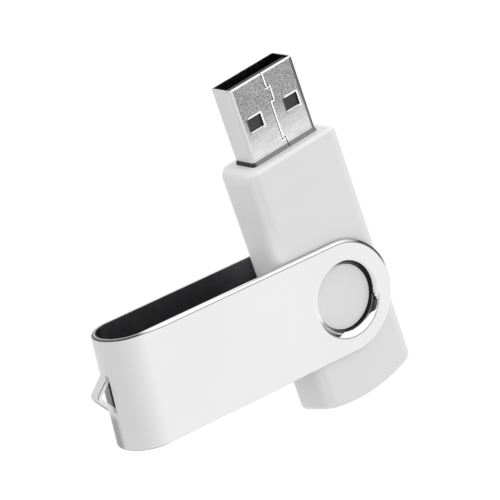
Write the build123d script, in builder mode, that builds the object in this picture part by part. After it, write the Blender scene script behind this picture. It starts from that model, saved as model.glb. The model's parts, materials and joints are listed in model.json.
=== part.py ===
"""Swivel-cover USB flash drive.

The drive is drawn about its swivel axis: +Y towards the plug, +Z out of the
broad face that carries the plug seam, Z = 0 halfway through the thickness.
At the end every piece is moved so that the drive lies on its cover arm with
the origin at the bottom centre of the whole drive.
"""
from build123d import *
import math
import os

os.makedirs("parts", exist_ok=True)

# ---- casing -------------------------------------------------------------
BODY_W = 17.4            # width across the drive
BODY_T = 8.0             # thickness
BODY_FRONT = 24.05       # swivel axis to the shoulder round the plug
BODY_REAR = -16.62       # swivel axis to the rear end, halfway through the thickness
REAR_R = 25.25           # plan radius of the rear end
REAR_LEAN = 0.19         # how far the rear end runs out for each mm downwards
EDGE_R = 1.95            # rounding of the long edges
RIM_R = 1.0              # rounding all round the rear end
SHOULDER_R = 0.6         # rounding of the shoulder edges
PART_Z = -0.6            # height of the line where the halves meet
WALL = 1.3               # side wall
SKIN = 1.1               # broad wall
LIP = 0.45               # thickness of the locating lip between the halves
LIP_H = 0.7
LIP_GAP = 0.04

# ---- swivel -------------------------------------------------------------
DISC_R = 4.85            # round island of the casing inside the cover hole
DISC_EDGE_R = 0.06
GROOVE_R = 6.05          # outside of the groove round the island
GROOVE_D = 0.95
PAD_R = 7.1              # thickened skin behind the groove
PAD_Z = 2.2

# ---- cover --------------------------------------------------------------
CLIP_ANGLE = 83.0        # resting angle of the cover from the plug direction
CLIP_W = 17.0
CLIP_SHEET = 0.75
CLIP_INNER = 4.12        # mid plane to the inner face of an arm
CLIP_BEND_Y = 34.85      # swivel axis to the centre of the bend
CLIP_EDGE_R = 0.42       # polished rounding of the outer edge
HOLE_R = 5.8             # where the arm face starts to curl into the hole
LIP_BORE_R = 4.93        # bore of the curled lip
LIP_END_Z = 3.3

# ---- key loop -----------------------------------------------------------
LOOP_Z = -0.85           # middle of the strap across the bend
LOOP_W = 1.9
LOOP_TOP = 2.3           # ends of the slot under the strap
LOOP_BOTTOM = -2.65
LOOP_APEX = 0.25
LOOP_REACH = 41.8        # swivel axis to the outside of the strap
LOOP_SHEET = 0.6
SLIT_TOP = 3.25          # ends of the opening beside the strap
SLIT_BOTTOM = -2.9
SLIT_W = 0.55

# ---- plug ---------------------------------------------------------------
PLUG_W = 12.0
PLUG_T = 4.5
PLUG_WALL = 0.3
PLUG_R = 0.55
PLUG_TIP = BODY_FRONT + 12.0
PLUG_BACK = 17.6
FLARE = 0.2
FLARE_L = 0.65
SEAM_W = 0.12
SEAM_JOG = 0.62
WINDOW_W = 2.55
WINDOW_L = 2.05
WINDOW_X = 3.45
WINDOW_START = 5.15      # plug tip to the near side of a window

TONGUE_Z = 0.10          # contact side of the tongue
TONGUE_END = PLUG_TIP - 0.33
BLOCK_BACK = 19.0
BLOCK_FRONT = 24.6
FIT = 0.03

CONTACT_W = 1.0
CONTACT_T = 0.25
CONTACT_Z = 0.04
CONTACT_BACK = 17.3

# ---- board --------------------------------------------------------------
PCB_W = 14.2
PCB_T = 1.0
PCB_REAR = -13.0
PCB_STEP = 15.4
PCB_FRONT = 18.9
PCB_NECK = 11.1
PAD_T = 0.04


def wall_plan(inset):
    """Plan outline of the casing drawn in by the inset, without corner rounding."""
    half = BODY_W / 2 - inset
    front = BODY_FRONT - inset
    radius = REAR_R - inset
    centre = BODY_REAR + REAR_R
    side = centre - math.sqrt(radius * radius - half * half)
    with BuildSketch(mode=Mode.PRIVATE) as sk:
        with BuildLine():
            Polyline((-half, side), (-half, front), (half, front), (half, side))
            ThreePointArc((half, side), (0, centre - radius), (-half, side))
        make_face()
    return sk.sketch


# ---- casing blank -------------------------------------------------------
with BuildPart() as blank:
    with BuildSketch(Plane.XY.offset(-BODY_T / 2)):
        with Locations((0, BODY_FRONT)):
            Rectangle(BODY_W, BODY_FRONT + REAR_R, align=(Align.CENTER, Align.MAX))
    extrude(amount=BODY_T)
    # the rear end leans, as part of a wide cone
    lean = REAR_LEAN * BODY_T / 2
    with Locations((0, BODY_REAR + REAR_R, 0)):
        Cone(REAR_R + lean, REAR_R - lean, BODY_T, mode=Mode.INTERSECT)
    broad = blank.faces().filter_by(Axis.Z)
    front_rims = broad.edges().filter_by(Axis.X)
    fillet(front_rims, radius=SHOULDER_R)
    fillet(blank.edges().filter_by(Axis.Y), radius=EDGE_R)
    rear_face = blank.faces().filter_by(GeomType.CONE).sort_by(Axis.Y)[0]
    fillet(rear_face.edges(), radius=RIM_R)

# ---- inside of the casing ----------------------------------------------
with BuildPart() as hollow:
    with BuildSketch(Plane.XY.offset(-BODY_T / 2 + SKIN)):
        add(wall_plan(WALL))
    extrude(amount=BODY_T - 2 * SKIN)
    fillet(hollow.edges().filter_by(Axis.Z), radius=1.0)
    with BuildSketch(Plane.XZ.offset(-BODY_FRONT - 1)):
        RectangleRounded(PLUG_W + 2 * FIT, PLUG_T + 2 * FIT, PLUG_R + FIT)
    extrude(amount=WALL + 2)
    for side in (-1, 1):
        with BuildSketch(Plane.XY.offset(side * BODY_T / 2)):
            Circle(PAD_R)
        extrude(amount=-side * (BODY_T / 2 - PAD_Z), mode=Mode.SUBTRACT)

with BuildPart() as grooves:
    for side in (-1, 1):
        with BuildSketch(Plane.XY.offset(side * (BODY_T / 2 + 0.5))):
            Circle(GROOVE_R)
            Circle(DISC_R, mode=Mode.SUBTRACT)
        extrude(amount=-side * (GROOVE_D + 0.5))

# step that locates the halves on each other
with BuildPart() as step_ring:
    with BuildSketch(Plane.XY.offset(PART_Z)):
        add(wall_plan(WALL - LIP))
        add(wall_plan(WALL), mode=Mode.SUBTRACT)
    extrude(amount=LIP_H)
    with Locations((0, BODY_FRONT, 0)):
        Box(PLUG_W + 2.4, 4.4, 6, mode=Mode.SUBTRACT)

with BuildPart() as step_room:
    with BuildSketch(Plane.XY.offset(PART_Z)):
        add(wall_plan(WALL - LIP - LIP_GAP))
        add(wall_plan(WALL + 0.5), mode=Mode.SUBTRACT)
    extrude(amount=LIP_H + LIP_GAP)
    with Locations((0, BODY_FRONT, 0)):
        Box(PLUG_W + 2.2, 4.2, 6, mode=Mode.SUBTRACT)

# ---- casing halves ------------------------------------------------------
RIB_Y = (19.9, 21.7)
FINGER_X = 6.75
FINGER_W = 1.2
LEDGE_X = 6.85
LEDGE_W = 1.5
PCB_TOP = 0.0
PCB_BOTTOM = -PCB_T

with BuildPart() as casing_upper:
    add(blank.part)
    add(hollow.part, mode=Mode.SUBTRACT)
    add(grooves.part, mode=Mode.SUBTRACT)
    split(bisect_by=Plane.XY.offset(PART_Z), keep=Keep.TOP)
    add(step_room.part, mode=Mode.SUBTRACT)
    # ribs over the plug shell
    roof = BODY_T / 2 - SKIN
    for y in RIB_Y:
        with Locations((0, y, (roof + 0.3 + PLUG_T / 2 + FIT) / 2)):
            Box(10.6, 0.8, roof + 0.3 - PLUG_T / 2 - FIT)
    # fingers that hold the board down
    for x in (-FINGER_X, FINGER_X):
        for y in (-10.6, 13.2):
            with Locations((x, y, (roof + 0.3 + PCB_TOP + FIT) / 2)):
                Box(FINGER_W, 1.4, roof + 0.3 - PCB_TOP - FIT)
    disc_rim = [e for e in casing_upper.edges().filter_by(GeomType.CIRCLE) if abs(e.radius - DISC_R) < 0.01]
    fillet([e for e in disc_rim if e.center().Z > BODY_T / 2 - 0.1], radius=DISC_EDGE_R)

with BuildPart() as casing_lower:
    add(blank.part)
    add(hollow.part, mode=Mode.SUBTRACT)
    add(grooves.part, mode=Mode.SUBTRACT)
    split(bisect_by=Plane.XY.offset(PART_Z), keep=Keep.BOTTOM)
    add(step_ring.part)
    floor_z = -BODY_T / 2 + SKIN
    for y in RIB_Y:
        with Locations((0, y, (floor_z - 0.3 - PLUG_T / 2 - FIT) / 2)):
            Box(10.6, 0.8, -floor_z + 0.3 - PLUG_T / 2 - FIT)
    # ledges under the board
    for x in (-LEDGE_X, LEDGE_X):
        for y in (-9.6, 11.9):
            with Locations((x, y, (floor_z - 0.3 + PCB_BOTTOM - FIT) / 2)):
                Box(LEDGE_W, 5.0, PCB_BOTTOM - FIT - floor_z + 0.3)
    disc_rim = [e for e in casing_lower.edges().filter_by(GeomType.CIRCLE) if abs(e.radius - DISC_R) < 0.01]
    fillet([e for e in disc_rim if e.center().Z < -BODY_T / 2 + 0.1], radius=DISC_EDGE_R)

# ---- plug shell ---------------------------------------------------------
with BuildPart() as plug_shell:
    with BuildSketch(Plane.XZ.offset(-PLUG_TIP)):
        RectangleRounded(PLUG_W, PLUG_T, PLUG_R)
    extrude(amount=PLUG_TIP - PLUG_BACK)
    tip_rim = plug_shell.faces().sort_by(Axis.Y)[-1].edges()
    fillet(tip_rim, radius=0.16)
    # skirt flared out against the casing
    with BuildSketch(Plane.XZ.offset(-BODY_FRONT)):
        RectangleRounded(PLUG_W + 2 * FLARE, PLUG_T + 2 * FLARE, PLUG_R + FLARE)
    with BuildSketch(Plane.XZ.offset(-BODY_FRONT - FLARE_L)):
        RectangleRounded(PLUG_W - 0.02, PLUG_T - 0.02, PLUG_R)
    loft()
    with BuildSketch(Plane.XZ.offset(-PLUG_TIP - 1)):
        RectangleRounded(PLUG_W - 2 * PLUG_WALL, PLUG_T - 2 * PLUG_WALL, PLUG_R - PLUG_WALL)
    extrude(amount=PLUG_TIP + 2 - PLUG_BACK, mode=Mode.SUBTRACT)
    # latch windows in both broad faces
    window_y = PLUG_TIP - WINDOW_START - WINDOW_L / 2
    with Locations((-WINDOW_X, window_y, 0), (WINDOW_X, window_y, 0)):
        Box(WINDOW_W, WINDOW_L, PLUG_T + 2, mode=Mode.SUBTRACT)
    # dovetailed seam of the rolled sheet
    with BuildSketch(Plane.XY.offset(PLUG_T / 2 - 2 * PLUG_WALL)):
        with BuildLine():
            run = Polyline(
                (0, PLUG_TIP + 0.5),
                (0, PLUG_TIP - 2.3),
                (SEAM_JOG, PLUG_TIP - 2.15),
                (SEAM_JOG, PLUG_TIP - 4.45),
                (0, PLUG_TIP - 4.3),
                (0, PLUG_TIP - 10.5),
                (SEAM_JOG, PLUG_TIP - 10.35),
                (SEAM_JOG, PLUG_TIP - 13.2),
                (0, PLUG_TIP - 13.0),
                (0, PLUG_BACK - 0.5),
            )
            offset(run, amount=SEAM_W / 2, kind=Kind.INTERSECTION, side=Side.BOTH)
        make_face()
    extrude(amount=4 * PLUG_WALL, mode=Mode.SUBTRACT)
    # solder tabs either side of the board neck
    for side in (-1, 1):
        with Locations((side * (PLUG_W - PLUG_WALL) / 2, PLUG_BACK - 0.75, -0.6)):
            Box(PLUG_WALL, 1.9, 2.0)

# ---- plug insulator and contacts ---------------------------------------
CONTACT_X = (-3.5, -1.0, 1.0, 3.5)
CONTACT_END = (0.7, 1.7, 1.7, 0.7)       # tongue end to the tip of each contact
INNER_W = PLUG_W - 2 * PLUG_WALL - 2 * FIT
INNER_T = PLUG_T - 2 * PLUG_WALL - 2 * FIT


def contact_profile(y_end):
    """Side outline of a contact: a flat blade from its tip back to the board."""
    low = CONTACT_Z
    high = CONTACT_Z + CONTACT_T
    with BuildSketch(mode=Mode.PRIVATE) as sk:
        with BuildLine():
            Polyline(
                (CONTACT_BACK, low),
                (y_end - 0.35, low),
                (y_end, low + 0.12),
                (y_end, high),
                (CONTACT_BACK, high),
                close=True,
            )
        make_face()
    return sk.sketch


with BuildPart() as plug_insulator:
    with BuildSketch(Plane.XZ.offset(-BLOCK_FRONT)):
        RectangleRounded(INNER_W, INNER_T, PLUG_R - PLUG_WALL)
    extrude(amount=BLOCK_FRONT - BLOCK_BACK)
    with BuildSketch(Plane.XZ.offset(-TONGUE_END)):
        RectangleRounded(INNER_W, INNER_T, PLUG_R - PLUG_WALL)
        with Locations((0, TONGUE_Z - PLUG_T / 2)):
            Rectangle(PLUG_W, PLUG_T, mode=Mode.SUBTRACT)
    extrude(amount=TONGUE_END - BLOCK_FRONT + 0.5)
    nose = plug_insulator.faces().sort_by(Axis.Y)[-1].edges().filter_by(Axis.X)
    chamfer(nose.sort_by(Axis.Z)[0], length=0.25)
    for x, gap in zip(CONTACT_X, CONTACT_END):
        with BuildSketch(Plane.YZ.offset(x)):
            add(contact_profile(TONGUE_END - gap))
        extrude(amount=CONTACT_W / 2, both=True, mode=Mode.SUBTRACT)

contacts = []
for x, gap in zip(CONTACT_X, CONTACT_END):
    with BuildPart() as contact:
        with BuildSketch(Plane.YZ.offset(x)):
            add(contact_profile(TONGUE_END - gap))
        extrude(amount=CONTACT_W / 2, both=True)
    contacts.append(contact)

# ---- circuit board ------------------------------------------------------
with BuildPart() as circuit_board:
    with BuildSketch(Plane.XY.offset(PCB_BOTTOM)):
        with BuildLine():
            Polyline(
                (-PCB_W / 2 + 1.2, PCB_REAR),
                (PCB_W / 2 - 1.2, PCB_REAR),
                (PCB_W / 2, PCB_REAR + 1.2),
                (PCB_W / 2, PCB_STEP),
                (PCB_NECK / 2, PCB_STEP),
                (PCB_NECK / 2, PCB_FRONT),
                (-PCB_NECK / 2, PCB_FRONT),
                (-PCB_NECK / 2, PCB_STEP),
                (-PCB_W / 2, PCB_STEP),
                (-PCB_W / 2, PCB_REAR + 1.2),
                close=True,
            )
        make_face()
    extrude(amount=PCB_T)

# ---- memory package -----------------------------------------------------
NAND_W = 12.0
NAND_L = 18.4
NAND_T = 1.0
NAND_Y = 0.6
NAND_Z = 0.1
LEAD_T = 0.15
LEAD_REACH = 0.8


def gull_wing(outer, body, top, foot):
    """Side outline of a bent lead from the package side down to the board."""
    knee = body + 0.25 * (outer - body)
    heel = body + 0.5 * (outer - body)
    pts = [
        (body, top),
        (knee, top),
        (heel, foot + LEAD_T),
        (outer, foot + LEAD_T),
        (outer, foot),
        (heel - LEAD_T, foot),
        (knee - LEAD_T * 0.6, top - LEAD_T),
        (body, top - LEAD_T),
    ]
    with BuildSketch(mode=Mode.PRIVATE) as sk:
        with BuildLine():
            Polyline(*pts, close=True)
        make_face()
    return sk.sketch


with BuildPart() as memory_chip:
    with Locations((0, NAND_Y, NAND_Z + NAND_T / 2)):
        Box(NAND_W, NAND_L, NAND_T)
    chamfer(memory_chip.edges().filter_by(Axis.Z), length=0.2)
    with Locations((-NAND_W / 2 + 1.2, NAND_Y + NAND_L / 2 - 1.2, NAND_Z + NAND_T)):
        Cylinder(radius=0.45, height=0.1, mode=Mode.SUBTRACT)

nand_lead = gull_wing(NAND_L / 2 + LEAD_REACH, NAND_L / 2, NAND_Z + 0.55, PAD_T)
with BuildPart() as memory_leads:
    for turn in (0, 180):
        for k in range(24):
            x = (k - 11.5) * 0.5
            lead_plane = Plane(
                origin=(x, NAND_Y, 0),
                x_dir=(0, 1 if turn == 0 else -1, 0),
                z_dir=(1 if turn == 0 else -1, 0, 0),
            )
            with BuildSketch(lead_plane):
                add(nand_lead)
            extrude(amount=0.11, both=True)

# ---- controller package -------------------------------------------------
CTRL = 7.0
CTRL_T = 1.35
CTRL_Y = 11.9
CTRL_Z = PCB_BOTTOM - 0.1

with BuildPart() as controller_chip:
    with Locations((0, CTRL_Y, CTRL_Z - CTRL_T / 2)):
        Box(CTRL, CTRL, CTRL_T)
    chamfer(controller_chip.edges().filter_by(Axis.Z), length=0.35)
    with Locations((-CTRL / 2 + 1.1, CTRL_Y - CTRL / 2 + 1.1, CTRL_Z - CTRL_T)):
        Cylinder(radius=0.4, height=0.1, mode=Mode.SUBTRACT)

ctrl_lead = gull_wing(CTRL / 2 + 0.95, CTRL / 2, -CTRL_Z + 0.65, -PCB_BOTTOM + PAD_T)
with BuildPart() as controller_leads:
    for turn in range(4):
        ang = math.radians(90 * turn)
        out = Vector(math.cos(ang), math.sin(ang), 0)
        along = Vector(-math.sin(ang), math.cos(ang), 0)
        for k in range(12):
            shift = along * ((k - 5.5) * 0.5)
            origin = Vector(0, CTRL_Y, 0) + shift
            normal = out.cross(Vector(0, 0, -1))
            with BuildSketch(Plane(origin=origin, x_dir=out, z_dir=normal)):
                add(ctrl_lead)
            extrude(amount=0.11, both=True)

# ---- small parts on the board ------------------------------------------
with BuildPart() as board_pads:
    # plug contacts
    for x in CONTACT_X:
        with Locations((x, (CONTACT_BACK + PCB_FRONT) / 2 - 0.2, PCB_TOP + PAD_T / 2)):
            Box(1.3, PCB_FRONT - CONTACT_BACK, PAD_T)
    # memory lands
    for side in (-1, 1):
        with Locations((0, NAND_Y + side * (NAND_L / 2 + LEAD_REACH - 0.2), PCB_TOP + PAD_T / 2)):
            with GridLocations(0.5, 1.0, 24, 1):
                Box(0.3, 0.7, PAD_T)
    # controller lands
    for turn in range(4):
        with Locations(Location((0, CTRL_Y, PCB_BOTTOM - PAD_T / 2), (0, 0, 90 * turn))):
            with Locations((CTRL / 2 + 0.8, 0, 0)):
                with GridLocations(1.0, 0.5, 1, 12):
                    Box(0.6, 0.3, PAD_T)

CAP_AT = ((-5.0, 12.4, 90), (-5.0, 14.3, 90), (5.3, 14.3, 90), (-4.4, -11.6, 0), (1.0, -11.6, 0))
RES_AT = ((5.3, 12.4, 90), (-1.6, 14.2, 0), (1.4, 14.2, 0), (3.4, -11.6, 0))

with BuildPart() as capacitors:
    for x, y, turn in CAP_AT:
        with Locations(Location((x, y, PCB_TOP + 0.4), (0, 0, turn))):
            Box(1.6, 0.8, 0.8)
    fillet(capacitors.edges(), radius=0.06)

with BuildPart() as resistors:
    for x, y, turn in RES_AT:
        with Locations(Location((x, y, PCB_TOP + 0.22), (0, 0, turn))):
            Box(1.6, 0.8, 0.44)
    chamfer(resistors.edges().group_by(Axis.Z)[-1], length=0.06)

with BuildPart() as regulator:
    with Locations((1.5, 12.3, PCB_TOP + 0.6)):
        Box(2.9, 1.3, 1.0)
    chamfer(regulator.edges().group_by(Axis.Z)[-1], length=0.12)

with BuildPart() as regulator_legs:
    for x, side in ((0.55, -1), (2.45, -1), (1.5, 1)):
        with Locations((x, 12.3 + side * 0.9, PCB_TOP + 0.08)):
            Box(0.4, 0.5, 0.16)
        with Locations((x, 12.3 + side * 0.7, PCB_TOP + 0.3)):
            Box(0.4, 0.1, 0.6)

with BuildPart() as status_light:
    with Locations((-1.7, -11.6, PCB_TOP + 0.15)):
        Box(1.6, 0.8, 0.3)
    with Locations((-1.7, -11.6, PCB_TOP + 0.5)):
        Box(0.9, 0.7, 0.4)

with BuildPart() as crystal:
    with Locations((2.6, -10.2, PCB_BOTTOM - 0.15)):
        Box(5.0, 3.2, 0.3)
    with Locations((2.6, -10.2, PCB_BOTTOM - 0.65)):
        Box(4.4, 2.6, 0.7)
    fillet(crystal.edges().filter_by(Axis.Z), radius=0.3)

# ---- swivel cover -------------------------------------------------------
# drawn closed over the plug (bend towards +Y), then turned to its resting angle
OUTER_Z = CLIP_INNER + CLIP_SHEET
HALF_W = CLIP_W / 2
BEND_OUT = CLIP_BEND_Y + OUTER_Z
LIP_R = HOLE_R - LIP_BORE_R

with BuildPart() as swivel_clip:
    with BuildSketch(Plane.YZ.offset(-HALF_W)):
        with BuildLine():
            Line((-HALF_W, OUTER_Z), (CLIP_BEND_Y, OUTER_Z))
            ThreePointArc((CLIP_BEND_Y, OUTER_Z), (CLIP_BEND_Y + OUTER_Z, 0), (CLIP_BEND_Y, -OUTER_Z))
            Polyline((CLIP_BEND_Y, -OUTER_Z), (-HALF_W, -OUTER_Z), (-HALF_W, -CLIP_INNER))
            Line((-HALF_W, -CLIP_INNER), (CLIP_BEND_Y, -CLIP_INNER))
            ThreePointArc((CLIP_BEND_Y, -CLIP_INNER), (CLIP_BEND_Y + CLIP_INNER, 0), (CLIP_BEND_Y, CLIP_INNER))
            Polyline((CLIP_BEND_Y, CLIP_INNER), (-HALF_W, CLIP_INNER), (-HALF_W, OUTER_Z))
        make_face()
    extrude(amount=CLIP_W)
    # round ends of the arms
    with BuildSketch(Plane.XY.offset(-OUTER_Z - 1)):
        Circle(HALF_W)
        with Locations((0, CLIP_BEND_Y / 2 + 5)):
            Rectangle(CLIP_W, CLIP_BEND_Y + 10)
    extrude(amount=2 * OUTER_Z + 2, mode=Mode.INTERSECT)
    # polished edge all round the outside
    rim = []
    for e in swivel_clip.edges():
        c = e.center()
        arm_end = e.geom_type == GeomType.CIRCLE and abs(abs(c.Z) - OUTER_Z) < 0.01
        side = abs(abs(c.X) - HALF_W) < 0.01
        outer = abs(abs(c.Z) - OUTER_Z) < 0.01 or c.Y > CLIP_BEND_Y + CLIP_INNER + 0.01
        if arm_end or (side and outer):
            rim.append(e)
    fillet(rim, radius=CLIP_EDGE_R)

    # holes over the casing's islands, with the sheet curled in round them
    with BuildSketch(Plane.XY):
        Circle(HOLE_R + 0.1)
    extrude(amount=OUTER_Z + 1, both=True, mode=Mode.SUBTRACT)
    with BuildSketch(Plane.XZ):
        with BuildLine():
            arc_z = OUTER_Z - LIP_R
            turn = LIP_R * (1 - math.sqrt(0.5))
            inner_r = LIP_R - CLIP_SHEET
            ThreePointArc((HOLE_R, OUTER_Z), (LIP_BORE_R + turn, OUTER_Z - turn), (LIP_BORE_R, arc_z))
            Polyline((LIP_BORE_R, arc_z), (LIP_BORE_R, LIP_END_Z), (LIP_BORE_R + CLIP_SHEET, LIP_END_Z))
            Line((LIP_BORE_R + CLIP_SHEET, LIP_END_Z), (LIP_BORE_R + CLIP_SHEET, CLIP_INNER - inner_r))
            Line((LIP_BORE_R + CLIP_SHEET, CLIP_INNER - inner_r), (HOLE_R, CLIP_INNER))
            Polyline((HOLE_R, CLIP_INNER), (HOLE_R + 0.4, CLIP_INNER), (HOLE_R + 0.4, OUTER_Z), (HOLE_R, OUTER_Z))
        make_face()
        mirror(about=Plane.XZ)
    revolve(axis=Axis.Z)
    # slot left in the bend by the key loop's strap
    with Locations(((LOOP_TOP + LOOP_BOTTOM) / 2, BEND_OUT - 1.0, LOOP_Z)):
        Box(LOOP_TOP - LOOP_BOTTOM, 3.6, LOOP_W + 0.12, mode=Mode.SUBTRACT)
    # opening beside the strap, slanted at both ends
    strap_side = LOOP_Z + LOOP_W / 2
    with BuildSketch(Plane.XZ.offset(-BEND_OUT + 1.9)):
        with BuildLine():
            Polyline(
                (SLIT_TOP, strap_side),
                (SLIT_TOP - 0.5, strap_side + SLIT_W),
                (SLIT_BOTTOM, strap_side + SLIT_W),
                (SLIT_BOTTOM + 0.3, strap_side),
                close=True,
            )
        make_face()
    extrude(amount=-2.6, mode=Mode.SUBTRACT)
    # strap bulged out of the slot
    with BuildSketch(Plane.XY.offset(LOOP_Z - LOOP_W / 2)):
        root = BEND_OUT - 1.0
        with BuildLine():
            Polyline(
                (LOOP_TOP + 1.05, root),
                (LOOP_APEX, LOOP_REACH + 0.25),
                (LOOP_BOTTOM - 1.1, root),
                close=True,
            )
        make_face()
        fillet(vertices().sort_by(Axis.Y)[-1], radius=0.9)
        with BuildLine():
            Polyline(
                (LOOP_TOP + 0.62, root - 0.3),
                (LOOP_APEX, LOOP_REACH - LOOP_SHEET + 0.1),
                (LOOP_BOTTOM - 0.62, root - 0.3),
                close=True,
            )
        make_face(mode=Mode.SUBTRACT)
    extrude(amount=LOOP_W)

# ---- place the drive on its cover arm ----------------------------------
clip_turned = swivel_clip.part.rotate(Axis.Z, CLIP_ANGLE)
pieces = {
    "casing_upper": casing_upper.part,
    "casing_lower": casing_lower.part,
    "plug_shell": plug_shell.part,
    "plug_insulator": plug_insulator.part,
    "contact_power": contacts[0].part,
    "contact_data_minus": contacts[1].part,
    "contact_data_plus": contacts[2].part,
    "contact_ground": contacts[3].part,
    "circuit_board": circuit_board.part,
    "board_pads": board_pads.part,
    "memory_chip": memory_chip.part,
    "memory_leads": memory_leads.part,
    "controller_chip": controller_chip.part,
    "controller_leads": controller_leads.part,
    "crystal": crystal.part,
    "capacitors": capacitors.part,
    "resistors": resistors.part,
    "regulator": regulator.part,
    "regulator_legs": regulator_legs.part,
    "status_light": status_light.part,
    "swivel_clip": clip_turned,
}
outer_pieces = (casing_upper.part, casing_lower.part, plug_shell.part, clip_turned)
outside = Compound(children=[Compound(p.wrapped) for p in outer_pieces])
box = outside.bounding_box(optimal=True)
shift = Vector(-(box.min.X + box.max.X) / 2, -(box.min.Y + box.max.Y) / 2, OUTER_Z)
print("drive box", box.size, "swivel axis at", shift)
for name, piece in pieces.items():
    placed = piece.moved(Location(shift))
    placed.label = name
    export_step(placed, "parts/" + name + ".step")
    b = placed.bounding_box()
    print(name, len(placed.solids()), placed.is_valid, round(placed.volume, 2), b.min, b.max)
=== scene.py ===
import json
import math
from types import SimpleNamespace
import bpy
from mathutils import Matrix, Vector

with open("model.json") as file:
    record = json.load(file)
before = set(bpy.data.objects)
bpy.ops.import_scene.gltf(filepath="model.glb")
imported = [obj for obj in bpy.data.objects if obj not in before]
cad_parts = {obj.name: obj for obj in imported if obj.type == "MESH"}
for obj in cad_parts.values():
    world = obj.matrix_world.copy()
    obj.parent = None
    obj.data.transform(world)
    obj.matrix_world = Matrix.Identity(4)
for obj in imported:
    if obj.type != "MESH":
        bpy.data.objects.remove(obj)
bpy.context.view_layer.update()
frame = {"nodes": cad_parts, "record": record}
nodes = frame["nodes"]
scene = bpy.context.scene

# Objects and the camera are placed in metres, as in the frame. Finishes are laid out in
# millimetres from the swivel axis. Two lengths together are the start and the end of a
# smooth step; three are the start, the end and the soft width of a band. A tone with a
# second number is a grey and how strongly it is laid over what is there.
MM = 0.001
GRAIN = 0.00002                 # metres, height of the finest bumps
RECORD = frame["record"]
MOUNTS = {mount["name"]: Vector(mount["pos_m"]) for mount in RECORD["mounts"]}
PIVOT = Vector(RECORD["behaviour"]["joints"][0]["pos_m"])
TO_PLUG = MOUNTS["usb_plug"] - PIVOT
TO_LOOP = MOUNTS["key_loop"] - PIVOT
CLIP_ANGLE = math.atan2(-TO_LOOP.x, TO_LOOP.y)  # the cover at rest, from the plug's direction

# ---------------------------------------------------------------- camera
SENSOR = 36.0
LENS = 252.0
CLIP_START = 0.01
CLIP_END = 20.0
CAM_RIGHT = Vector((0.74075, -0.30392, 0.5991))
CAM_UP = Vector((0.46741, 0.87372, -0.1347))
CAM_BACK = Vector((-0.48251, 0.3798, 0.78926))
CAM_FROM_PIVOT = Vector((-0.25182, 0.20283, 0.39572))


def place_camera():
    """The angle of the photograph, fitted to the straight edges of the drive."""
    cam_data = bpy.data.cameras.new("camera")
    cam = bpy.data.objects.new("camera", cam_data)
    scene.collection.objects.link(cam)
    cam_data.sensor_width = SENSOR
    cam_data.lens = LENS
    cam_data.clip_start = CLIP_START
    cam_data.clip_end = CLIP_END
    rot = Matrix((CAM_RIGHT, CAM_UP, CAM_BACK)).transposed()
    cam.matrix_world = Matrix.Translation(PIVOT + CAM_FROM_PIVOT) @ rot.to_4x4()
    scene.camera = cam
    scene.view_settings.view_transform = "Standard"
    scene.view_settings.look = "None"


place_camera()


# ---------------------------------------------------------------- materials
def grey(v):
    return (v, v, v)


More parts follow.
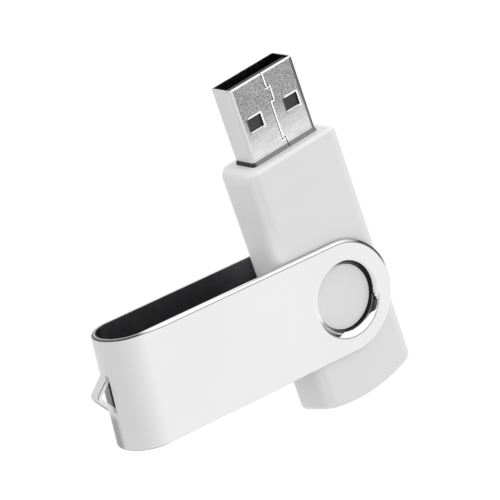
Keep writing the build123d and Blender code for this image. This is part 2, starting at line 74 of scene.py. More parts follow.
class Nodes:
    """Small helper for building a node tree."""

    def __init__(self, name):
        self.mat = bpy.data.materials.new(name)
        self.mat.use_nodes = True
        self.tree = self.mat.node_tree
        self.bsdf = self.tree.nodes["Principled BSDF"]

    def add(self, kind, **props):
        node = self.tree.nodes.new(kind)
        for key, value in props.items():
            setattr(node, key, value)
        return node

    def link(self, a, b):
        self.tree.links.new(a, b)

    def put(self, value, socket):
        """Link a socket or set a plain value."""
        if isinstance(value, (int, float)):
            socket.default_value = value
        else:
            self.link(value, socket)

    def shade(self, name, value):
        """Link or set one of the shader's own sockets."""
        self.put(value, self.bsdf.inputs[name])

    def coords(self, scale=(1.0, 1.0, 1.0), vec=None):
        mp = self.add("ShaderNodeMapping")
        mp.inputs["Scale"].default_value = scale
        self.link(vec or self.add("ShaderNodeTexCoord").outputs["Object"], mp.inputs["Vector"])
        return mp.outputs["Vector"]

    def axis_coords(self, angle=0.0):
        """Millimetres from the swivel axis, turned back by the angle: vector, x, y, z."""
        turn = Matrix.Rotation(-angle, 3, "Z")
        mp = self.add("ShaderNodeMapping")
        mp.inputs["Scale"].default_value = (1.0 / MM, 1.0 / MM, 1.0 / MM)
        mp.inputs["Rotation"].default_value = (0.0, 0.0, -angle)
        mp.inputs["Location"].default_value = -(turn @ (PIVOT / MM))
        self.link(self.add("ShaderNodeTexCoord").outputs["Object"], mp.inputs["Vector"])
        split = self.add("ShaderNodeSeparateXYZ")
        self.link(mp.outputs["Vector"], split.inputs["Vector"])
        return mp.outputs["Vector"], split.outputs["X"], split.outputs["Y"], split.outputs["Z"]

    def facing(self, axis):
        """How far the surface faces along an axis of its own object."""
        split = self.add("ShaderNodeSeparateXYZ")
        self.link(self.add("ShaderNodeTexCoord").outputs["Normal"], split.inputs["Vector"])
        return split.outputs[axis]

    def math(self, op, a, b=0.0, c=0.0):
        n = self.add("ShaderNodeMath", operation=op)
        for value, socket in zip((a, b, c), n.inputs):
            self.put(value, socket)
        return n.outputs["Value"]

    def product(self, *factors):
        out = factors[0]
        for f in factors[1:]:
            out = self.math("MULTIPLY", out, f)
        return out

    def plus(self, a, b):
        return self.math("ADD", a, b)

    def minus(self, a, b):
        return self.math("SUBTRACT", a, b)

    def ratio(self, a, b):
        return self.math("DIVIDE", a, b)

    def most(self, a, b):
        return self.math("MAXIMUM", a, b)

    def size(self, a):
        return self.math("ABSOLUTE", a)

    def inverse(self, a):
        return self.math("SUBTRACT", 1.0, a)

    def hypot(self, a, b):
        return self.math("SQRT", self.plus(self.product(a, a), self.product(b, b)))

    def step(self, value, span, low=0.0, high=1.0):
        """Smooth step of the value from low at the span's start to high at its end."""
        start, end = span
        n = self.add("ShaderNodeMapRange", interpolation_type="SMOOTHSTEP")
        self.link(value, n.inputs["Value"])
        flip = start > end
        n.inputs["From Min"].default_value = end if flip else start
        n.inputs["From Max"].default_value = start if flip else end
        n.inputs["To Min"].default_value = high if flip else low
        n.inputs["To Max"].default_value = low if flip else high
        return n.outputs["Result"]

    def band(self, value, start, end, soft):
        """One between start and end, falling to nought over the soft width outside."""
        rise = self.step(value, (start - soft, start))
        fall = self.step(value, (end + soft, end))
        return self.product(rise, fall)

    def mix(self, factor, a, b):
        """Blend two colours or greys."""
        n = self.add("ShaderNodeMix", data_type="RGBA")
        self.put(factor, n.inputs["Factor"])
        for value, name in ((a, "A"), (b, "B")):
            socket = [i for i in n.inputs if i.name == name and i.type == "RGBA"][0]
            if isinstance(value, tuple):
                socket.default_value = (*value, 1.0)
            else:
                self.link(value, socket)
        return [o for o in n.outputs if o.type == "RGBA"][0]

    def over(self, colour, mask, tone, strength=1.0):
        """Lay an even grey over a colour, as far as the mask and the strength allow."""
        factor = mask if strength == 1.0 else self.product(mask, strength)
        return self.mix(factor, colour, grey(tone))

    def noise(self, vec, scale, detail=2.0, rough=0.5):
        n = self.add("ShaderNodeTexNoise")
        n.inputs["Scale"].default_value = scale
        n.inputs["Detail"].default_value = detail
        n.inputs["Roughness"].default_value = rough
        self.link(vec, n.inputs["Vector"])
        return n.outputs["Fac"]

    def ramp(self, fac, stops):
        """Colour ramp through the stops, each a place and a colour or a grey level."""
        r = self.add("ShaderNodeValToRGB")
        els = r.color_ramp.elements
        while len(els) < len(stops):
            els.new(0.5)
        for el, (pos, col) in zip(els, stops):
            el.position = pos
            el.color = (*(col if isinstance(col, tuple) else grey(col)), 1.0)
        self.link(fac, r.inputs["Fac"])
        return r.outputs["Color"]

    def bump(self, height, strength, distance, normal=None):
        b = self.add("ShaderNodeBump")
        b.inputs["Strength"].default_value = strength
        b.inputs["Distance"].default_value = distance
        self.link(height, b.inputs["Height"])
        if normal is not None:
            self.link(normal, b.inputs["Normal"])
        return b.outputs["Normal"]


# places on a noise where a two-coloured ramp starts and ends
LOW = 0.3
HIGH = 0.7
EVEN_GRAIN = 900.0              # noise scales, per metre
MATT_GRAIN = 2600.0
EVEN_CLOUD = 60.0
EVEN_SHARE = 0.35               # share of the grain in the even materials' colour
ROUGH_SPREAD = 0.08


def speckled(name, low, high, rough, scale=EVEN_GRAIN, bump=0.15, metallic=0.0):
    """Even material with fine grain in its colour, roughness and surface."""
    m = Nodes(name)
    vec = m.coords()
    fine = m.noise(vec, scale, 3.0, 0.6)
    wide = m.noise(vec, EVEN_CLOUD, 2.0)
    mix = m.add("ShaderNodeMix")
    mix.inputs["Factor"].default_value = EVEN_SHARE
    m.link(wide, mix.inputs["A"])
    m.link(fine, mix.inputs["B"])
    m.shade("Base Color", m.ramp(mix.outputs["Result"], [(LOW, low), (HIGH, high)]))
    m.shade("Roughness", m.ramp(fine, [(LOW, rough), (HIGH, rough + ROUGH_SPREAD)]))
    m.shade("Metallic", metallic)
    m.shade("Normal", m.bump(fine, bump, GRAIN))
    return m.mat


# ---------------------------------------------------------------- cover
# "Across" and "along" lie in the plane of the cover's arms; "along" points to the bend,
# and "across" is negative on the left. "Depth" is the distance from the bend's centre
# line, or from the middle plane of the arms. The drive lies on one arm, so the axis is
# given half the cover's height up.
COVER_OUTER = PIVOT.z / MM      # depth of the sheet's outer face
COVER_INNER = COVER_OUTER - 0.75
PAINT = 0.93
PAINT_SPREAD = 0.008
PAINT_ROUGH = [(LOW, 0.36), (HIGH, 0.42)]
METAL_ROUGH = [(LOW, 0.05), (HIGH, 0.09)]
INSIDE_ROUGH = 0.42
COVER_GRAIN = (2.2, 4.0, 0.6)   # noises: scale, detail and roughness
COVER_CLOUD = (0.08, 2.0)
COVER_BUMP = 0.05
BEND_Y = 34.85                  # along: centre line of the bend
STRAP_Y = 39.78                 # along: where the key strap leaves the bend
STRAP_FROM = (STRAP_Y, STRAP_Y + 0.1)
STRAP_BEFORE = (STRAP_Y + 0.05, STRAP_Y)
FLAT_CUT = (0.55, 0.75)         # how far a cut face looks up or down
SLOT_CUT = (0.85, 0.95)
SLOT_PAST_BEND = (3.3, 3.5)
SLOT_HALF = (4.2, 4.0)

# depth of the skins and edges
SHEET_SKIN = (COVER_INNER, COVER_INNER + 0.08)
OUTER_SKIN = (COVER_INNER + 0.28, COVER_INNER + 0.33)
DARK_SKIN = (COVER_INNER + 0.23, COVER_INNER + 0.08)
BEND_EDGE_SKIN = (COVER_INNER + 0.28, COVER_INNER + 0.40)
INNER_CORNER = (COVER_INNER + 0.12, COVER_INNER + 0.05)
LINE_SKIN = (COVER_INNER + 0.18, COVER_INNER + 0.48)

# half width of the painted band, and how much wider it is at the bend and on the left
PAINT_EDGE = 8.08
PAINT_FADE = (PAINT_EDGE, PAINT_EDGE - 0.03)
WIDER_BEND = 0.27
WIDER_BEND_FROM = (BEND_Y - 3.4, BEND_Y + 1.1)
WIDER_LEFT = 0.26
WIDER_LEFT_FROM = (0.0, -1.0)
# painted dark reflection line where the paint meets the polished edge
RIM_LINE = (PAINT_EDGE - 0.04, PAINT_EDGE + 0.10, 0.04)
REFLECTION_LINE_TONE = (0.12, 0.7)

# the unpainted circle round the hole, whose centre is a little off the hole
PAINT_HOLE = 5.71
PAINT_HOLE_P = -0.50            # its centre, across
PAINT_HOLE_U = -0.21            # and along
PAINT_HOLE_FADE = (PAINT_HOLE, PAINT_HOLE + 0.05)
# painted dark reflection line round the hole
HOLE_LINE = (PAINT_HOLE - 0.13, PAINT_HOLE + 0.05, 0.05)
RAGGED_EVEN = 0.02              # how much the paint's edge strays
RAGGED_DIM = 0.7                # and on the dim side of the hole
RAGGED_SIDE = 0.3
PAINT_SHRINK = 0.8              # how far the paint runs into the lip on the right

# unit directions from the hole's centre, across and along
CRESCENT_DIR = (-0.98, -0.20)   # the side of the lip with the painted highlight
DIM_DIR = (-0.31, -0.95)        # the dim side
HIDDEN_DIR = (0.36, 0.93)       # the side that the camera sees least of
THREAD_DIR = (-0.75, 0.66)      # a thin painted highlight

# cosines between a place round the hole and those directions
DIM_PART = (0.8, 1.0)
HIDDEN_PART = (0.15, 0.75)
BULGE_PART = (0.2, 0.95)
TAPER_PART = (0.89, 0.75)
STREAK_PART = (0.1, 0.5)
THREAD_PART = (0.91, 0.96)
BARE_PART = (-0.22, -0.38)      # cosine to the right, for the bare side of the lip
SHRINK_PART = (-0.52, -0.26)

# distances from the hole's centre
LIP_BLACK = (5.02, 4.98)
LIP_STREAK = (5.02, 5.07, 0.03)
LIP_CRESCENT = (5.06, 5.12)
LIP_THREAD = (5.28, 5.36, 0.03)
LIP_END = (6.6, 6.5)
LIP_PAINTED = (6.3, 6.2)
HOLE_LINE_FROM = (5.3, 5.45)
DARK_FROM = (5.6, 5.75)
BLACK_R = 5.225                 # outside of the black ring round the island, a painted shadow in the gap
BLACK_R_ACROSS = 0.25
BLACK_R_ALONG = 0.10
BLACK_R_HIDDEN = 0.35
BLACK_FADE = (0.0, 0.06)
LIP_BULGE = 0.10
LIP_STRAY = 0.12
LIP_TAPER = 0.75

# tones of the lip: painted dark reflection, painted highlights, a painted shadow and painted grey
# shading
LIP_DARK_REFLECTION_TONES = [(0.35, 0.02), (HIGH, 0.12)]
CRESCENT_HIGHLIGHT_TONE = 0.97
LIP_STREAK_HIGHLIGHT_TONE = (0.5, 0.6)
THREAD_HIGHLIGHT_TONE = (0.9, 0.9)
LIP_SHADOW_TONE = 0.025
HIDDEN_SIDE_SHADING_TONE = (0.55, 0.8)

# painted reflections along the outer edge, from its left side (0) round the end to its right (1)
EDGE_REFLECTION_TONES = [(0.0, 0.85), (0.6, 0.8), (0.66, 0.4), (0.72, 0.05), (0.93, 0.05),
              (0.985, 0.7), (1.0, 0.95)]
EDGE_DARK_REFLECTION = 0.05
BEND_EDGE_REFLECTION_TONES = [(0.35, 0.3), (0.65, 0.62)]
# painted shade in the inner corner where the bend begins
CORNER_SHADE_TONE = (0.15, 0.8)
RIM_LINE_PART = (0.6, 0.72)
RIM_LINE_LEAST = 0.25
BEND_EDGE_FROM = (BEND_Y - 0.6, BEND_Y + 1.2)
BEND_CORNER_UNTIL = (0.4, 0.0)
FAR_EDGE_UP = (-COVER_INNER - 0.28, -COVER_INNER - 0.34)
FAR_EDGE_ACROSS = (7.0, 8.0)

# dark inside of the sheet: painted shade, deepest in the bend
COVER_INSIDE_SHADE_TONES = [(LOW, (0.12, 0.12, 0.128)), (HIGH, (0.155, 0.155, 0.164))]
INSIDE_GRAIN = (0.9, 3.0)
INSIDE_BEND = (0.5, 2.4)
INSIDE_BEND_SHADE_SHARE = 0.8
INSIDE_BEND_SHADE_TONE = 0.02

# painted shade: dark patch low on the bend, on its left
UNDER_SLOPE = (-0.42, -0.1, 0.32)
UNDER_SHADE_TONE = (0.12, 0.68)
UNDER_ACROSS = (-2.6, -4.2)
UNDER_PAST_BEND = (3.0, 3.8)
TINY = 0.001

# key strap: painted highlight on its cut faces, painted dark lines and painted shade on its
# underside
CUT_HIGHLIGHT_TONE = (0.97, 0.6)
STRAP_SHADE_TONE = 0.06
STRAP_LOW_SHARE = 0.9
STRAP_LINE_UP = (-0.08, 0.12, 0.04)
STRAP_LINE_ACROSS = (0.0, 0.3)
WALL_LINE_UP = (0.0, 0.14, 0.03)
WALL_LINE_ACROSS = (2.2, 2.9, 0.15)
WALL_LINE_ALONG = (39.3, 39.4)
STRAP_LOW_ACROSS = (-0.1, -0.5)
STRAP_LOW_UP = (-0.5, -1.2)


def toward(m, at, direction):
    """Cosine between a place round the hole and a direction in the cover's plane."""
    a = m.product(at.across, direction[0])
    return m.ratio(m.math("MULTIPLY_ADD", at.along, direction[1], a), at.hole)


def cover_places(m):
    """Where a point of the cover lies: from its hole, its middle line and its bend."""
    at = SimpleNamespace()
    at.vec, at.across, at.along, at.up = m.axis_coords(CLIP_ANGLE)
    at.past_bend = m.most(m.minus(at.along, BEND_Y), 0.0)
    at.depth = m.hypot(at.past_bend, at.up)
    at.edge = m.hypot(at.across, m.math("MINIMUM", at.along, 0.0))
    at.hole = m.hypot(at.across, at.along)
    at.to_right = m.ratio(at.across, at.hole)
    at.to_bend = m.ratio(at.along, at.hole)
    at.around = m.math("MULTIPLY_ADD", m.ratio(at.across, at.edge), 0.5, 0.5)
    at.fine = m.noise(at.vec, *COVER_GRAIN)
    at.stray = m.minus(at.fine, 0.5)
    at.level = m.size(m.facing("Z"))
    at.strap = m.step(at.along, STRAP_FROM)
    at.hidden = m.step(toward(m, at, HIDDEN_DIR), HIDDEN_PART)

    # the painted band is measured from the middle line, and round the arm's end
    wider = m.most(m.step(at.along, WIDER_BEND_FROM, 0.0, WIDER_BEND),
                   m.step(at.across, WIDER_LEFT_FROM, 0.0, WIDER_LEFT))
    at.trim = m.minus(at.edge, wider)

    # and the unpainted circle from its own centre, with a ragged rim on the dim side
    ragged = m.step(toward(m, at, DIM_DIR), DIM_PART, RAGGED_EVEN, RAGGED_DIM)
    ragged = m.product(at.stray, ragged)
    off_hole = m.hypot(m.minus(at.across, PAINT_HOLE_P), m.minus(at.along, PAINT_HOLE_U))
    at.paint_r = m.plus(off_hole, ragged)
    at.side = m.plus(at.to_right, m.product(ragged, RAGGED_SIDE))
    at.bare = m.step(at.side, BARE_PART)
    return at


def cover_paint(m, at):
    """One where the cover is painted: outside, key strap, and the slot's cut face."""
    shrunk = m.plus(at.paint_r, m.step(at.side, SHRINK_PART, 0.0, PAINT_SHRINK))
    black_r = m.math("MULTIPLY_ADD", at.to_right, BLACK_R_ACROSS, BLACK_R)
    black_r = m.math("MULTIPLY_ADD", at.to_bend, BLACK_R_ALONG, black_r)
    black_r = m.minus(black_r, m.product(at.hidden, BLACK_R_HIDDEN))
    clear = m.step(m.minus(at.hole, black_r), BLACK_FADE)
    skin = m.most(m.step(at.depth, OUTER_SKIN), m.step(at.hole, LIP_PAINTED))
    sheet = m.product(m.step(at.depth, SHEET_SKIN), m.step(at.trim, PAINT_FADE),
                      m.step(shrunk, PAINT_HOLE_FADE), clear, skin)
    slot_cut = m.product(m.step(at.level, SLOT_CUT), m.step(at.past_bend, SLOT_PAST_BEND),
                         m.step(m.size(at.across), SLOT_HALF))
    return m.most(m.most(sheet, at.strap), slot_cut)


def edge_painted_reflections(m, at):
    """Polished outer edge in painted reflections: white along one side, dark round the arm's end.
    """
    colour = m.ramp(at.around, EDGE_REFLECTION_TONES)
    # on the bend, a grey painted reflection that turns dark towards the inside
    bend = m.ramp(at.fine, BEND_EDGE_REFLECTION_TONES)
    bend = m.over(bend, m.step(at.depth, BEND_EDGE_SKIN), EDGE_DARK_REFLECTION)
    colour = m.mix(m.step(at.along, BEND_EDGE_FROM), colour, bend)
    # painted shade in the inner corner where the bend begins
    corner = m.product(m.step(at.depth, INNER_CORNER), m.step(at.past_bend, BEND_CORNER_UNTIL))
    colour = m.over(colour, corner, *CORNER_SHADE_TONE)
    # painted dark reflection along the right edge of the lower arm
    far_edge = m.product(m.step(at.up, FAR_EDGE_UP), m.step(at.across, FAR_EDGE_ACROSS))
    return m.over(colour, far_edge, EDGE_DARK_REFLECTION)


def lip_painted_light(m, at):
    """Polished lip curled into the hole: black painted shadow and dark reflection, with a bright
    painted highlight crescent on one side.
    """
    bright = toward(m, at, CRESCENT_DIR)
    ring = m.minus(at.hole, m.product(m.step(bright, BULGE_PART), LIP_BULGE))
    ring = m.plus(ring, m.product(at.stray, LIP_STRAY))
    crescent = m.step(m.minus(ring, m.step(bright, TAPER_PART, 0.0, LIP_TAPER)), LIP_CRESCENT)
    colour = m.over(m.ramp(at.fine, LIP_DARK_REFLECTION_TONES), crescent, CRESCENT_HIGHLIGHT_TONE)
    streak = m.product(m.band(ring, *LIP_STREAK), m.step(bright, STREAK_PART))
    colour = m.over(colour, streak, *LIP_STREAK_HIGHLIGHT_TONE)
    along_thread = m.step(toward(m, at, THREAD_DIR), THREAD_PART)
    thread_highlight = m.product(m.band(ring, *LIP_THREAD), along_thread)
    colour = m.over(colour, thread_highlight, *THREAD_HIGHLIGHT_TONE)
    painted_shadow = m.most(m.step(ring, LIP_BLACK), m.inverse(at.bare))
    colour = m.over(colour, painted_shadow, LIP_SHADOW_TONE)
    # painted grey shading on the side that the camera sees least of
    return m.over(colour, at.hidden, *HIDDEN_SIDE_SHADING_TONE)


def paint_and_under_shade(m, at):
    """White paint, with the painted shade of the dark patch low on the bend that the photograph
    shows.
    """
    wide = m.noise(at.vec, *COVER_CLOUD)
    colour = m.ramp(wide, [(LOW, PAINT - PAINT_SPREAD), (HIGH, PAINT + PAINT_SPREAD)])
    slope = m.ratio(at.up, m.most(at.past_bend, TINY))
    under_shade = m.product(m.band(slope, *UNDER_SLOPE), m.step(at.across, UNDER_ACROSS),
                      m.step(at.past_bend, UNDER_PAST_BEND), m.step(at.along, STRAP_BEFORE))
    return m.over(colour, under_shade, *UNDER_SHADE_TONE)


def painted_reflection_lines(m, at, colour):
    """Fine dark line of painted reflection where the paint meets the polished edge, and round the
    hole.
    """
    along_rim = m.step(at.around, RIM_LINE_PART, RIM_LINE_LEAST, 1.0)
    rim = m.product(m.band(at.trim, *RIM_LINE), along_rim)
    hole = m.product(m.band(at.paint_r, *HOLE_LINE), m.step(at.hole, HOLE_LINE_FROM), at.bare)
    line = m.product(m.most(rim, hole), m.step(at.depth, LINE_SKIN))
    return m.over(colour, line, *REFLECTION_LINE_TONE)


def strap_painted_light(m, at, colour):
    """Key strap: painted highlight on the cut faces, a painted dark line beside the upper one,
    painted shade on the underside.
    """
    flat = m.step(at.level, FLAT_CUT)
    colour = m.over(colour, m.product(at.strap, flat), *CUT_HIGHLIGHT_TONE)
    upright = m.inverse(flat)
    strap_line = m.product(at.strap, upright, m.band(at.up, *STRAP_LINE_UP),
                           m.step(at.across, STRAP_LINE_ACROSS))
    wall_line = m.product(m.band(at.up, *WALL_LINE_UP), m.band(at.across, *WALL_LINE_ACROSS),
                          m.step(at.along, WALL_LINE_ALONG), upright)
    low = m.product(at.strap, upright, m.step(at.across, STRAP_LOW_ACROSS),
                    m.step(at.up, STRAP_LOW_UP), STRAP_LOW_SHARE)
    return m.over(colour, m.most(m.most(strap_line, wall_line), low), STRAP_SHADE_TONE)


def cover_finish():
    """White satin paint on the broad outside, polished edges in painted reflections, dark polished
    inside in painted shade.
    """
    m = Nodes("cover_finish")
    at = cover_places(m)
    paint = cover_paint(m, at)
    # painted shade on the polished inside, darker still deep in the bend
    inside = m.product(m.step(at.depth, DARK_SKIN), m.step(at.hole, DARK_FROM))
    inside_shade = m.ramp(m.noise(at.vec, *INSIDE_GRAIN), COVER_INSIDE_SHADE_TONES)
    bend_shade = m.step(at.past_bend, INSIDE_BEND, 0.0, INSIDE_BEND_SHADE_SHARE)
    inside_shade = m.over(inside_shade, bend_shade, INSIDE_BEND_SHADE_TONE)
    metal = m.mix(m.step(at.hole, LIP_END), edge_painted_reflections(m, at), lip_painted_light(m, at))
    metal = m.mix(inside, metal, inside_shade)
    colour = m.mix(paint, metal, paint_and_under_shade(m, at))
    colour = painted_reflection_lines(m, at, colour)
    m.shade("Base Color", strap_painted_light(m, at, colour))
    m.shade("Metallic", m.inverse(paint))
    metal_rough = m.over(m.ramp(at.fine, METAL_ROUGH), inside, INSIDE_ROUGH)
    m.shade("Roughness", m.mix(paint, metal_rough, m.ramp(at.fine, PAINT_ROUGH)))
    m.shade("Normal", m.bump(at.fine, COVER_BUMP, GRAIN))
    return m.mat


# ---------------------------------------------------------------- plug
# x runs across the plug, y along it to its tip, and z up to its seam side.
PLUG_TIP = TO_PLUG.y / MM
PLUG_BASE = PLUG_TIP - 12.0     # where it leaves the casing
PLUG_BROAD = (2.0, 2.22)        # height where the broad faces begin
PLUG_SEAM_SIDE = (2.1, 2.24)
# the painted dark reflection grows between these, towards the tip
PLUG_DARK_REFLECTION = (PLUG_BASE + 1.0, PLUG_BASE + 8.0)
STREAK_SCALE = (0.8, 7.0, 2.0)
STREAK_NOISE = (1.0, 6.0, 0.7)
STREAK_BUMP = 0.35
BLOT_SCALE = (4.2, 11.0, 3.0)
BLOT_NOISE = (1.0, 5.0, 0.75)
BLOT_BUMP = 0.2
DARK_REFLECTION_SHARE = 0.85
STEEL_ROUGH = [(LOW, 0.2), (HIGH, 0.32)]
LIGHT_TONES = [(LOW, 0.40), (0.5, 0.62), (0.72, 0.74)]
DARK_REFLECTION_TONES = [(0.40, 0.02), (0.5, 0.22), (0.60, 0.50)]
SIDE_TONES = [(LOW, 0.575), (HIGH, 0.60)]

# rounded long edges of the seam side, with painted reflections
LEFT_X = (-5.42, -5.52)
LEFT_Z = (1.1, 1.9)
RIGHT_X = (5.6, 5.8)
RIGHT_Z = (1.2, 1.75)
RIGHT_STRAY = 0.7
LEFT_EDGE_HIGHLIGHT_TONE = 0.9
RIGHT_EDGE_REFLECTION_TONE = (0.06, 0.85)
CORNER_METAL = -0.8             # how much less metallic the corners are
CORNER_ROUGH = 0.6

# latch windows: centre, width, length
WINDOW_X = 3.45
WINDOW_W = 2.55
WINDOW_L = 2.05
WINDOW_Y = PLUG_TIP - 5.15 - WINDOW_L / 2
LIT_TOP_Y = (0.6, 1.0)          # from the window's centre: its lit far and right sides
LIT_TOP_X = (-1.1, -0.7)
LIT_RIGHT_X = (0.9, 1.3)
# painted shade beside the left side of each window
SHADED_SIDE_X = (-1.15, -1.25)
WALL_Y = (-0.85, -1.0)
HALO_AWAY = (0.30, 0.16)        # from the window's outline
SHADED_SIDE_AWAY = (0.2, 0.1)
WALL_AWAY = (0.05, 0.02)
SHADED_SIDE_Z = (1.9, 2.0)
WALL_Z = (1.9, 1.95)
SHADED_SIDE_TONE = (0.1, 0.85)
# painted highlight round the lit sides, and painted light on the near walls
HALO_HIGHLIGHT_TONE = 0.93
WALL_LIGHT_TONE = 0.95

# seam: it jogs sideways between the first two distances from the tip, and past the last
SEAM_JOG = 0.62
SEAM_JOGS = (2.22, 4.38, 10.42)
SEAM_LIT = (0.06, 0.26, 0.05)
SEAM_HIGHLIGHT_TONE = 0.93
JOG_SOFT = 0.02
JOG_ACROSS = (-0.05, SEAM_JOG + 0.15, 0.05)
JOG_BEHIND = (0.28, 0.02, 0.06) # the lit crease, from the jog towards the base
SEAM_PAST = (PLUG_TIP - 10.4, PLUG_TIP - 10.45)
SEAM_END = (PLUG_TIP - 11.0, PLUG_TIP - 10.7)

# mouth, inside and skirt
MOUTH = (PLUG_TIP - 0.22, PLUG_TIP - 0.12)
MOUTH_NEAR_Z = (1.7, 2.0)
MOUTH_FAR_Z = (-1.7, -1.95)
MOUTH_HIGHLIGHT_TONE = 0.97
MOUTH_FAR_SHADE_TONES = [(0.45, 0.02), (0.62, 0.4)]
INSIDE_X = (5.74, 5.7)
INSIDE_Z = (1.99, 1.95)
INSIDE_Y = (PLUG_TIP - 0.05, PLUG_TIP - 0.1)
INSIDE_STEEL_ROUGH = 0.5
SHELL_INSIDE_SHADE_NOISE = (5.0, 3.0, 0.7)
SHELL_INSIDE_SHADE_TONES = [(0.6, 0.02), (0.72, 0.35)]
SKIRT_X = (-5.95, -5.6)
SKIRT_Y = (PLUG_BASE + 0.66, PLUG_BASE + 0.6)
# painted shade on the skirt, darkest on its left
SKIRT_LEFT = 0.03
SKIRT_RIGHT = 0.2


def plug_windows(m, x, y, z, colour):
    """Painted highlight on the pressed edges round the lit sides of the latch windows, painted
    shade beside their left sides, and painted light on their near walls, which it also gives.
    """
    win_x = m.minus(x, m.product(m.math("SIGN", x), WINDOW_X))
    win_y = m.minus(y, WINDOW_Y)
    out_x = m.most(m.minus(m.size(win_x), WINDOW_W / 2), 0.0)
    out_y = m.most(m.minus(m.size(win_y), WINDOW_L / 2), 0.0)
    away = m.hypot(out_x, out_y)
    top_side = m.product(m.step(win_y, LIT_TOP_Y), m.step(win_x, LIT_TOP_X))
    lit_side = m.most(m.step(win_x, LIT_RIGHT_X), top_side)
    highlight_halo = m.product(m.step(away, HALO_AWAY), lit_side, m.step(z, PLUG_SEAM_SIDE))
    shaded_side = m.product(m.step(away, SHADED_SIDE_AWAY), m.step(win_x, SHADED_SIDE_X), m.step(z, SHADED_SIDE_Z))
    wall = m.product(m.step(away, WALL_AWAY), m.step(win_y, WALL_Y), m.step(z, WALL_Z))
    colour = m.over(colour, shaded_side, *SHADED_SIDE_TONE)
    colour = m.over(colour, highlight_halo, HALO_HIGHLIGHT_TONE)
    return m.over(colour, wall, WALL_LIGHT_TONE), wall


def plug_seam(m, x, y, z, colour):
    """Painted highlight on the pressed edge along the seam and across each of its jogs."""
    first, second, last = SEAM_JOGS
    middle = m.band(y, PLUG_TIP - second, PLUG_TIP - first, JOG_SOFT)
    jog = m.most(middle, m.step(y, SEAM_PAST))
    lit = m.band(m.minus(x, m.product(jog, SEAM_JOG)), *SEAM_LIT)
    far, near, soft = JOG_BEHIND
    for distance in (first, second, last):
        at_jog = PLUG_TIP - distance
        crease = m.band(y, at_jog - far, at_jog - near, soft)
        lit = m.most(lit, m.product(m.band(x, *JOG_ACROSS), crease))
    lit = m.product(lit, m.step(z, PLUG_SEAM_SIDE), m.step(y, SEAM_END))
    return m.over(colour, lit, SEAM_HIGHLIGHT_TONE)


def plug_finish():
    """Brushed steel: streaks across the plug, with a painted dark reflection that grows towards
    its tip.
    """
    m = Nodes("plug_steel")
    vec, x, y, z = m.axis_coords()
    streak = m.noise(m.coords(STREAK_SCALE, vec), *STREAK_NOISE)
    blot = m.noise(m.coords(BLOT_SCALE, vec), *BLOT_NOISE)
    dark_reflection = m.product(m.step(y, PLUG_DARK_REFLECTION), DARK_REFLECTION_SHARE)
    face = m.mix(dark_reflection, m.ramp(streak, LIGHT_TONES), m.ramp(blot, DARK_REFLECTION_TONES))
    side = m.ramp(streak, SIDE_TONES)
    colour = m.mix(m.step(m.size(z), PLUG_BROAD), side, face)

    # painted reflections on the rounded long edges of the seam side: a painted highlight on the
    # left, a painted dark reflection on the right
    left = m.product(m.step(x, LEFT_X), m.step(z, LEFT_Z))
    stray_x = m.math("MULTIPLY_ADD", blot, RIGHT_STRAY, x)
    right = m.product(m.step(stray_x, RIGHT_X), m.step(z, RIGHT_Z))
    corners = m.most(left, right)
    colour = m.over(colour, left, LEFT_EDGE_HIGHLIGHT_TONE)
    colour = m.over(colour, right, *RIGHT_EDGE_REFLECTION_TONE)
    colour, wall = plug_windows(m, x, y, z, colour)
    colour = plug_seam(m, x, y, z, colour)

    # painted highlight on the rim at the mouth, on the seam side only, and painted shade on its
    # far side
    rim = m.over(side, m.step(z, MOUTH_NEAR_Z), MOUTH_HIGHLIGHT_TONE)
    rim = m.mix(m.step(z, MOUTH_FAR_Z), rim, m.ramp(blot, MOUTH_FAR_SHADE_TONES))
    colour = m.mix(m.step(y, MOUTH), colour, rim)

    # dull inside of the shell in painted shade flecked with painted glints, and the skirt in
    # painted shade beside the casing
    deep = m.product(m.step(m.size(x), INSIDE_X), m.step(m.size(z), INSIDE_Z))
    shell_inside_shade = m.ramp(m.noise(vec, *SHELL_INSIDE_SHADE_NOISE), SHELL_INSIDE_SHADE_TONES)
    colour = m.mix(m.product(deep, m.step(y, INSIDE_Y)), colour, shell_inside_shade)
    skirt = m.mix(m.step(x, SKIRT_X), grey(SKIRT_LEFT), grey(SKIRT_RIGHT))
    m.shade("Base Color", m.mix(m.step(y, SKIRT_Y), colour, skirt))
    m.shade("Metallic", m.math("MULTIPLY_ADD", corners, CORNER_METAL, 1.0))
    rough = m.over(m.ramp(streak, STEEL_ROUGH), corners, CORNER_ROUGH)
    m.shade("Roughness", m.over(rough, deep, INSIDE_STEEL_ROUGH))

    # grain, and the near walls of the windows turned a little to the light
    grain = m.bump(streak, STREAK_BUMP, GRAIN, m.bump(blot, BLOT_BUMP, GRAIN))
    m.shade("Normal", m.bump(m.product(z, wall, -MM), 1.0, 1.0, grain))
    return m.mat


# ---------------------------------------------------------------- casing
CASING = 0.78
CASING_SPREAD = 0.006
CASING_ROUGH = [(LOW, 0.42), (HIGH, 0.5)]
CASING_GRAIN = (2.6, 3.0, 0.6)
CASING_CLOUD = (0.06, 2.0)
CASING_BUMP = 0.2
GLOW = 0.10                     # painted light: a glow that lifts the shade beside the cover
GLOW_SPREAD = 0.06
FACING_RIGHT = (0.1, 0.8)
RIGHT_SIDE_SHADE_SHARE = 0.6
RIGHT_SIDE_SHADE_DROP = 0.08
FACING_LEFT = (-0.12, -0.75)
LEFT_SIDE_LIGHT_TONE = 0.98
SHOULDER_Y = (PLUG_BASE - 0.75, PLUG_BASE - 0.15)
SHOULDER_LIGHT_TONE = (0.93, 0.7)
SHOULDER_GLOW = 0.8
BESIDE_X = (-6.2, -8.0)
BESIDE_FADE_Y = (17.0, 9.0)
BESIDE_FROM_Y = (5.0, 8.0)


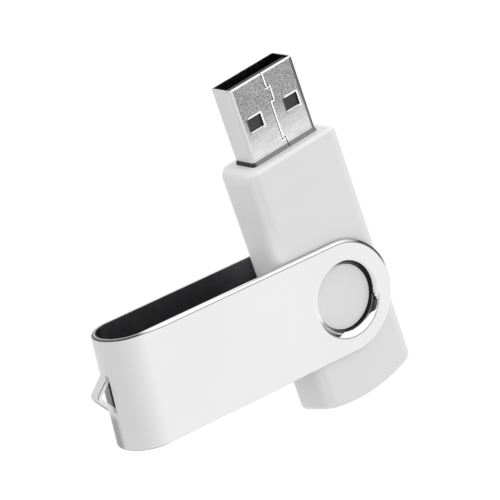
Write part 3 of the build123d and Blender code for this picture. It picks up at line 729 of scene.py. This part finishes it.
def casing_finish():
    """Fine grained moulded plastic; painted light and shade on its sides, a lighter shoulder and a
    painted glow beside the cover stand in for light soaking through it.
    """
    m = Nodes("casing_plastic")
    vec, x, y, _ = m.axis_coords()
    fine = m.noise(vec, *CASING_GRAIN)
    wide = m.noise(vec, *CASING_CLOUD)
    colour = m.ramp(wide, [(LOW, CASING - CASING_SPREAD), (HIGH, CASING + CASING_SPREAD)])

    # painted shade darkens the side facing right and painted light lightens the side facing left,
    # evening out the two sides as light that soaks through the plastic would do
    facing = m.facing("X")
    to_right = m.step(facing, FACING_RIGHT, 0.0, RIGHT_SIDE_SHADE_SHARE)
    colour = m.mix(to_right, colour, grey(CASING - RIGHT_SIDE_SHADE_DROP))
    colour = m.over(colour, m.step(facing, FACING_LEFT), LEFT_SIDE_LIGHT_TONE)
    # painted light on the shoulder beside the plug, in its colour and, below, in its glow
    shoulder = m.step(y, SHOULDER_Y)
    m.shade("Base Color", m.over(colour, shoulder, *SHOULDER_LIGHT_TONE))
    m.shade("Roughness", m.ramp(fine, CASING_ROUGH))
    # painted light: the plastic glows beside the cover and at the shoulder, where they would be in
    # shade
    beside = m.product(m.step(x, BESIDE_X), m.step(y, BESIDE_FADE_Y), m.step(y, BESIDE_FROM_Y))
    beside = m.most(beside, m.product(shoulder, SHOULDER_GLOW))
    glow = m.product(beside, m.math("MULTIPLY_ADD", wide, GLOW_SPREAD, GLOW))
    m.shade("Emission Color", m.mix(glow, grey(0.0), grey(1.0)))
    m.shade("Emission Strength", 1.0)
    m.shade("Normal", m.bump(fine, CASING_BUMP, GRAIN))
    return m.mat


# ---------------------------------------------------------------- pieces
GOLD = ((0.75, 0.55, 0.25), (0.8, 0.6, 0.3))
METAL = (EVEN_GRAIN, 0.1, 1.0)  # grain, bump and metallic of the plated and tinned parts
FINISHES = [
    (["casing_upper", "casing_lower"], casing_finish()),
    (["swivel_clip"], cover_finish()),
    (["plug_shell"], plug_finish()),
    (["plug_insulator"], speckled("insulator_plastic", 0.02, 0.035, 0.5, MATT_GRAIN, 0.4)),
    (["contact_power", "contact_data_minus", "contact_data_plus", "contact_ground"],
     speckled("contact_gold", *GOLD, 0.25, *METAL)),
    (["board_pads"], speckled("pad_gold", *GOLD, 0.3, *METAL)),
    (["circuit_board"], speckled("board_mask", (0.02, 0.16, 0.08), (0.03, 0.2, 0.1), 0.3)),
    (["memory_chip", "controller_chip", "regulator"],
     speckled("package_black", 0.03, 0.045, 0.55)),
    (["memory_leads", "controller_leads", "regulator_legs"],
     speckled("lead_tin", 0.6, 0.66, 0.35, *METAL)),
    (["crystal"], speckled("crystal_metal", 0.55, 0.6, 0.3, *METAL)),
    (["capacitors"], speckled("capacitor_ceramic", (0.5, 0.36, 0.22), (0.56, 0.42, 0.27), 0.5)),
    (["resistors"], speckled("resistor_ceramic", 0.05, 0.08, 0.5)),
    (["status_light"], speckled("light_resin", (0.8, 0.76, 0.5), (0.85, 0.8, 0.56), 0.2)),
]
for names, finish in FINISHES:
    for name in names:
        materials = nodes[name].data.materials
        materials.clear()
        materials.append(finish)

# ---------------------------------------------------------------- stage
FLOOR_HALF = 3.0         # metres
FLOOR_DROP = 0.00005     # just below the drive
FLOOR_GREY = 0.05
FLOOR_SEEN = 1.02        # floor as seen directly and in polished metal
FLOOR_LIGHT = 0.70       # light that it gives the dull surfaces
DIM_SIDE = 0.58
BRIGHT_SIDE = 1.24
SIDE_EDGE = (-0.10, 0.12)
HORIZON = (0.0, 0.2)


def stage_floor():
    """Plain pale floor that lights the drive from below."""
    corners = [(-1, -1), (1, -1), (1, 1), (-1, 1)]
    mesh = bpy.data.meshes.new("floor")
    mesh.from_pydata([(FLOOR_HALF * x, FLOOR_HALF * y, 0) for x, y in corners], [], [(0, 1, 2, 3)])
    floor = bpy.data.objects.new("floor", mesh)
    scene.collection.objects.link(floor)
    floor.location.z = -FLOOR_DROP
    m = Nodes("floor_white")
    m.bsdf.inputs["Base Color"].default_value = (*grey(FLOOR_GREY), 1)
    m.bsdf.inputs["Emission Color"].default_value = (1, 1, 1, 1)
    m.shade("Roughness", 1.0)
    m.shade("Specular IOR Level", 0.0)
    path = m.add("ShaderNodeLightPath")
    seen = m.most(path.outputs["Is Camera Ray"], path.outputs["Is Glossy Ray"])
    m.shade("Emission Strength", m.step(seen, (0.0, 1.0), FLOOR_LIGHT, FLOOR_SEEN))
    floor.data.materials.append(m.mat)


def studio_world():
    """Soft light: a bright half of the room to the right, a dimmer half to the left."""
    world = bpy.data.worlds.new("world")
    scene.world = world
    world.use_nodes = True
    tree = world.node_tree
    background = tree.nodes["Background"]
    coord = tree.nodes.new("ShaderNodeTexCoord")
    split = tree.nodes.new("ShaderNodeSeparateXYZ")
    tree.links.new(coord.outputs["Generated"], split.inputs["Vector"])

    def smooth(socket, span):
        n = tree.nodes.new("ShaderNodeMapRange")
        n.interpolation_type = "SMOOTHSTEP"
        tree.links.new(socket, n.inputs["Value"])
        n.inputs["From Min"].default_value = span[0]
        n.inputs["From Max"].default_value = span[1]
        return n.outputs["Result"]

    both = tree.nodes.new("ShaderNodeMath")
    both.operation = "MULTIPLY"
    tree.links.new(smooth(split.outputs["X"], SIDE_EDGE), both.inputs[0])
    tree.links.new(smooth(split.outputs["Z"], HORIZON), both.inputs[1])
    level = tree.nodes.new("ShaderNodeMapRange")
    tree.links.new(both.outputs[0], level.inputs["Value"])
    level.inputs["To Min"].default_value = DIM_SIDE
    level.inputs["To Max"].default_value = BRIGHT_SIDE

    # the room itself looks plain and pale
    path = tree.nodes.new("ShaderNodeLightPath")
    seen = tree.nodes.new("ShaderNodeMix")
    tree.links.new(path.outputs["Is Camera Ray"], seen.inputs["Factor"])
    tree.links.new(level.outputs["Result"], seen.inputs["A"])
    seen.inputs["B"].default_value = 1.0
    tree.links.new(seen.outputs["Result"], background.inputs["Strength"])
    background.inputs["Color"].default_value = (1, 1, 1, 1)


stage_floor()
studio_world()
